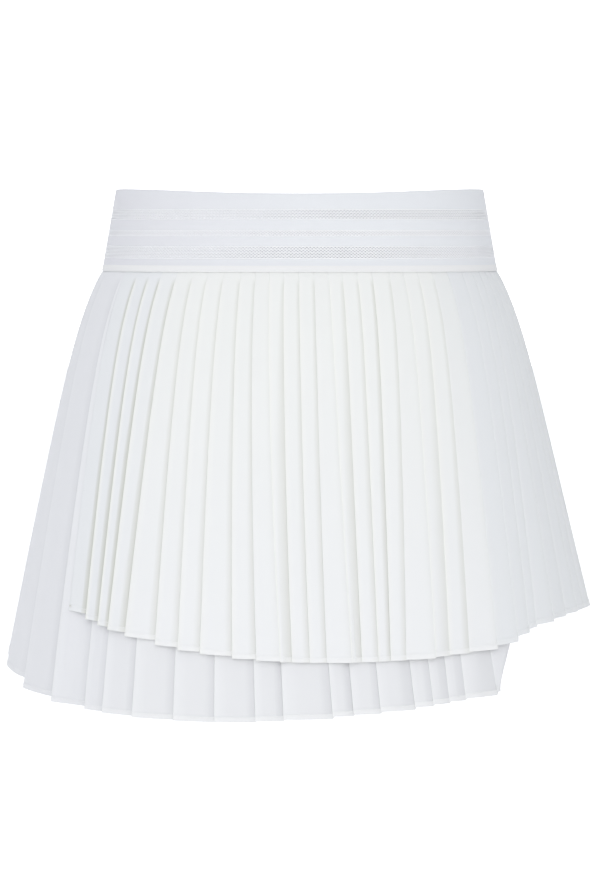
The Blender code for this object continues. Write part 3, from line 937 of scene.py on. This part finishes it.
def make_band():
    profile = band_profile()
    heights = BAND_TOP - profile[:, 0]
    places = np.arange(BAND_COLUMNS) * 4.0 / BAND_COLUMNS
    point, outward, _ = on_outline(places[:, None], heights[None, :])
    verts = point - outward * profile[:, 1][None, :, None]
    rows = len(profile)
    index = np.arange(BAND_COLUMNS * rows).reshape(BAND_COLUMNS, rows)
    after = np.roll(index, -1, axis=0)
    quads = np.stack([index, np.roll(index, -1, axis=1), np.roll(after, -1, axis=1), after], axis=-1)
    mesh = bpy.data.meshes.new("waistband_elastic")
    mesh.from_pydata(verts.reshape(-1, 3).tolist(), [], quads.reshape(-1, 4).tolist())
    depth = np.concatenate([[0], np.cumsum(np.hypot(*np.diff(profile, axis=0).T))])
    layer = mesh.uv_layers.new(name="cloth")
    layer.data.foreach_set("uv", band_map(depth).astype(np.float32).ravel())
    mesh.materials.append(KNITTED_ELASTIC)
    # The floor faces take the painted shade seen through the net's holes.
    mesh.materials.append(NET_HOLE_SHADE)
    floor = (profile[:, 1] == FLOOR_DEPTH) & (np.roll(profile[:, 1], -1) == FLOOR_DEPTH)
    mesh.polygons.foreach_set("material_index", np.tile(floor.astype(np.int32), BAND_COLUMNS))
    mesh.shade_smooth()
    mesh.set_sharp_from_angle(angle=np.radians(SHARP_ANGLE))
    return placed("waistband_elastic", mesh)


band = make_band()
print("band points:", len(band.data.vertices))

# %% [markdown]
# ## The openwork net
# Each openwork stripe is a net of wavy yarns: neighbours swing against each other and touch at every
# turn, which leaves a diamond hole between them. One closed guide line is laid for each yarn, with its
# phase stored on the points. Geometry Nodes swing it up and down, lift it at the crossings, and carry a
# small round section along it. A texture could only paint holes, and a Boolean would cut thousands.

# %% The net as a node tree
NET_CELLS = 326
POINTS_PER_CELL = 4
YARN_RADIUS = 0.42 * MM
YARN_OUT = -0.14 * MM


def net_tree():
    tree, nodes, plug = node_group("openwork_net", "Swing", "Crossing Lift", "Yarn Radius", "Flatness")
    phase = stored(nodes, "phase")
    up = nodes.scaled(stored(nodes, "upward", "FLOAT_VECTOR"), phase.cosine() * plug["Swing"])
    out = nodes.scaled(stored(nodes, "outward", "FLOAT_VECTOR"), phase.sine() * plug["Crossing Lift"])
    values = {"Geometry": plug["Geometry"], "Offset": nodes.summed(up, out)}
    swung = nodes.add("GeometryNodeSetPosition", None, values)
    line = nodes.add("GeometryNodeMeshToCurve", None, [swung])
    upright = nodes.add("GeometryNodeSetCurveNormal", {"mode": "Z_UP"}, [line])
    values = {"Resolution": 6, "Radius": plug["Yarn Radius"]}
    ring = nodes.add("GeometryNodeCurvePrimitiveCircle", None, values)
    flat = nodes.add("ShaderNodeCombineXYZ", None, [plug["Flatness"], 1.0, 1.0])
    section = nodes.add("GeometryNodeTransform", None, {"Geometry": ring, "Scale": flat})
    yarn = nodes.add("GeometryNodeCurveToMesh", None, {"Curve": upright, "Profile Curve": section})
    smooth = nodes.add("GeometryNodeSetShadeSmooth", None, [yarn])
    finish_group(nodes, smooth, plug["Material"])
    return tree


def guide_rings(name, depths, steps, phase_step, out):
    """Closed guide lines round the band at several depths, with directions and a phase on each point."""
    place = np.arange(steps) * 4.0 / steps
    count = len(depths)
    z = BAND_TOP - np.array(depths)
    point, outward, _ = on_outline(place[None, :], z[:, None])
    above, _, _ = on_outline(place[None, :], z[:, None] + 1 * MM)
    upward = above - point
    upward /= np.linalg.norm(upward, axis=-1, keepdims=True)
    index = np.arange(count * steps).reshape(count, steps)
    edges = np.stack([index, np.roll(index, -1, axis=1)], axis=-1).reshape(-1, 2)
    mesh = bpy.data.meshes.new(name)
    mesh.from_pydata((point + outward * out).reshape(-1, 3).tolist(), edges.tolist(), [])
    swing = np.arange(steps)[None, :] * phase_step + np.pi * (np.arange(count)[:, None] % 2)
    for key, values in (("outward", outward), ("upward", upward), ("phase", swing)):
        store(mesh, key, values)
    return placed(name, mesh)


NET = net_tree()
nets = []
for number, stripe in enumerate(OPEN_STRIPES, start=1):
    pitch = (stripe.foot - stripe.top - 2 * YARN_RADIUS) / stripe.rows
    depths = [stripe.top + YARN_RADIUS + pitch * k for k in range(stripe.rows + 1)]
    steps = NET_CELLS * POINTS_PER_CELL
    guide = guide_rings(f"openwork_net_{number}", depths, steps, 2 * np.pi / POINTS_PER_CELL, YARN_OUT)
    values = {"Swing": pitch * 0.25, "Crossing Lift": 0.05 * MM, "Yarn Radius": YARN_RADIUS,
              "Flatness": 0.4, "Material": OPENWORK_YARN}
    nets.append(run_tree(guide, NET, values))
    print(nets[-1].name, "rows", stripe.rows, "faces", len(nets[-1].data.polygons))

# %% [markdown]
# ## Stitches
# A row of lockstitches follows each hem and the seam under the band, and a small zigzag tack holds the
# hem at the short panel's lower corner. One stitch is a stubby ellipsoid with few faces. The tree turns
# a guide line into a curve, spaces points along it by the stitch length, turns a stitch into the line at
# each point, and makes the copies real.

# %% Stitches as a node tree
STITCH_LENGTH = 2.6 * MM
HALF_STITCH = 0.4
STITCH_OUT = 0.08 * MM


def stitch_tree():
    tree, nodes, plug = node_group("lockstitch", "Stitch Length", "Thread")
    line = nodes.add("GeometryNodeMeshToCurve", None, [plug["Geometry"]])
    values = {"Curve": line, "Length": plug["Stitch Length"]}
    spaced = nodes.add("GeometryNodeResampleCurve", {"mode": "LENGTH"}, values)
    one = nodes.add("GeometryNodeMeshUVSphere", None, {"Segments": 6, "Rings": 4, "Radius": 1.0})
    tangent = nodes.add("GeometryNodeInputTangent")
    turned = nodes.add("FunctionNodeAlignRotationToVector", {"axis": "X"}, {"Vector": tangent})
    sizes = [plug["Stitch Length"] * HALF_STITCH, plug["Thread"], plug["Thread"]]
    size = nodes.add("ShaderNodeCombineXYZ", None, sizes)
    values = {"Points": spaced, "Instance": one, "Rotation": turned, "Scale": size}
    sewn = nodes.add("GeometryNodeInstanceOnPoints", None, values)
    smooth = nodes.add("GeometryNodeSetShadeSmooth", None, [sewn])
    finish_group(nodes, smooth, plug["Material"])
    return tree


STITCHES = stitch_tree()


def sew(name, points, thread, length=STITCH_LENGTH, material=SEWING_THREAD, closed=False):
    """A row of stitches along a line of points."""
    count = len(points)
    edges = [(i, (i + 1) % count) for i in range(count if closed else count - 1)]
    mesh = bpy.data.meshes.new(name)
    mesh.from_pydata(points.tolist(), edges, [])
    values = {"Stitch Length": length, "Thread": thread, "Material": material}
    row = run_tree(placed(name, mesh), STITCHES, values)
    print(name, len(row.data.polygons), "faces")
    return row


def grid_of(panel, layout):
    """A pressed panel's points, as rows by columns."""
    rows, columns = layout["across"].shape
    coords = np.empty(rows * columns * 3)
    panel.data.vertices.foreach_get("co", coords)
    return coords.reshape(rows, columns, 3)


def hem_line(panel, layout):
    """Points just outside the cloth along the row of a panel that lies on the hem's stitching."""
    row = ROWS_ABOVE_HEM.index(STITCH_ROW) - len(ROWS_ABOVE_HEM)
    return grid_of(panel, layout)[row] + layout["outward"][row] * STITCH_OUT


stitches = {}
for name, panel in panels.items():
    title = name.replace("_cloth", "") + "_hem_stitches"
    stitches[name] = sew(title, hem_line(panel, layouts[name]), thread=0.13 * MM)

# %% The corner tack
TACK_COLUMNS = slice(6, 8)
TACK_HEIGHT = 2.2 * MM
TACK_TURNS = 5
over = panels["over_panel"]
hem_points = hem_line(over, layouts["over_panel"])[TACK_COLUMNS]
zigzag = np.repeat(np.linspace(hem_points[0], hem_points[-1], TACK_TURNS), 2, axis=0)
zigzag[:, 2] += TACK_HEIGHT * np.tile([-0.5, 0.5], TACK_TURNS)
corner_tack = sew("corner_tack", zigzag, thread=0.11 * MM, length=0.9 * MM, material=SHADED_TACK_THREAD)

# %% The waist seam
SEAM_HEIGHT = 1.1 * MM
SEAM_OUT = 0.02 * MM
SEAM_POINTS = 480
place = np.linspace(0, 4, SEAM_POINTS, endpoint=False)
seam_point, seam_out, _ = on_outline(place, BAND_FOOT + SEAM_HEIGHT)
seam_line = seam_point + seam_out * (WELT_PROUD + SEAM_OUT)
waist_stitches = sew("waist_seam_stitches", seam_line, thread=0.14 * MM, closed=True)

# %% [markdown]
# ## Putting the pieces on the frame
# Every piece rides on the one body, and the panels and the band each stand for the solid they cover,
# which is hidden. Those four are sheets of cloth, and the size each panel was cut to is measured.

# %% Riding and cuts
WAIST_ROW = ROWS_BELOW_BAND.index(0.0)


def developed(panel, layout):
    """The panel's flat width along its waist and hem, its length and its area, in metres."""
    grid = grid_of(panel, layout)
    widths = np.linalg.norm(np.diff(grid, axis=1), axis=2).sum(axis=1)
    falls = np.linalg.norm(np.diff(grid, axis=0), axis=2)
    area = (0.5 * (widths[1:] + widths[:-1]) * falls.mean(axis=1)).sum()
    return widths[WAIST_ROW], widths[-1], falls.sum(axis=0).max(), area


for name, panel in panels.items():
    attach(panel, "root")
    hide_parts(REPLACED[name])
    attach(stitches[name], "root")
    waist, hem, length, area = developed(panel, layouts[name])

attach(corner_tack, "root")
for piece in (*nets, waist_stitches):
    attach(piece, "root")
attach(band, "root")
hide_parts("waistband")

# %% [markdown]
# ## Camera, floor and light
# The photograph was taken from a few metres off, level with the waistband, so the camera stands there and
# looks down a little. The floor is plain and pale. The light is a bright sky in front and behind, which
# dims and turns a little blue towards both sides, most on the right, so that the flanks fall away gently.
# One very broad lamp in front and above adds a soft direction.

# %% Camera
CAMERA_DISTANCE = 2.6
CAMERA_SIDE = 0.2 * MM
CAMERA_PITCH = 3.44
CAMERA_LENS = 145.7
SENSOR_WIDTH = 36
camera_data = bpy.data.cameras.new("camera")
camera_data.lens = CAMERA_LENS
camera_data.sensor_width = SENSOR_WIDTH
camera = placed("camera", camera_data)
camera.location = (CAMERA_SIDE, -CAMERA_DISTANCE, 0.0)
camera.rotation_euler = (np.radians(90 - CAMERA_PITCH), 0, 0)
bpy.context.scene.camera = camera

# %% Floor
FLOOR_HEIGHT = -0.62
FLOOR_RADIUS = 14.0
FLOOR_GLOW = 0.3


def plain_floor():
    material, nodes, shader = principled("pale_floor", (0.95, 0.95, 0.95), roughness=0.9, sheen=0.0)
    white = uneven_white(nodes, (0.955, 0.955, 0.955), (0.945, 0.945, 0.945), scale=2.0)
    nodes.put(shader.inputs["Base Color"], white)
    shader.inputs["Emission Color"].default_value = (1, 1, 1, 1)
    shader.inputs["Emission Strength"].default_value = FLOOR_GLOW
    bm = bmesh.new()
    bmesh.ops.create_circle(bm, cap_ends=True, radius=FLOOR_RADIUS, segments=64)
    mesh = bpy.data.meshes.new("floor")
    bm.to_mesh(mesh)
    bm.free()
    mesh.materials.append(material)
    obj = placed("floor", mesh)
    obj.location = (0, 0, FLOOR_HEIGHT)


plain_floor()

# %% Light
FRONT_LIGHT = 0.84
LEFT_FALL = 0.78
RIGHT_FALL = 1.04
LEAST_LIGHT = 0.02
TOP_RISE = 0.4
SIDE_TINT = (0.87, 0.92, 1.03)
WHITE = (1.0, 1.0, 1.0)
SEEN_RISE = 1.2
bpy.context.scene.view_settings.view_transform = "Standard"
world = bpy.data.worlds.new("studio")
world.use_nodes = True
bpy.context.scene.world = world
sky = Nodes(world.node_tree)
backdrop = world.node_tree.nodes["Background"]
towards, _, upward = sky.parts(sky.add("ShaderNodeTexCoord", output=0))
to_side = towards.absolute()
fall = LEFT_FALL + (towards > 0.0) * (RIGHT_FALL - LEFT_FALL)
level = (FRONT_LIGHT - to_side * to_side * fall).at_least(LEAST_LIGHT) + upward.at_least(0.0) * TOP_RISE
camera_ray = sky.add("ShaderNodeLightPath", output=0)
seen = sky.mixed(camera_ray, sky.mixed(to_side, WHITE, SIDE_TINT), WHITE)
sky.put(backdrop.inputs["Color"], seen)
sky.put(backdrop.inputs["Strength"], level + camera_ray * SEEN_RISE)


def soft_sun(name, strength, angle, tilt):
    data = bpy.data.lights.new(name, "SUN")
    data.energy = strength
    data.angle = np.radians(angle)
    placed(name, data).rotation_euler = (np.radians(tilt), 0, 0)


soft_sun("overhead", strength=0.35, angle=70, tilt=50)
print("light: sky", FRONT_LIGHT, "in front, one soft sun")
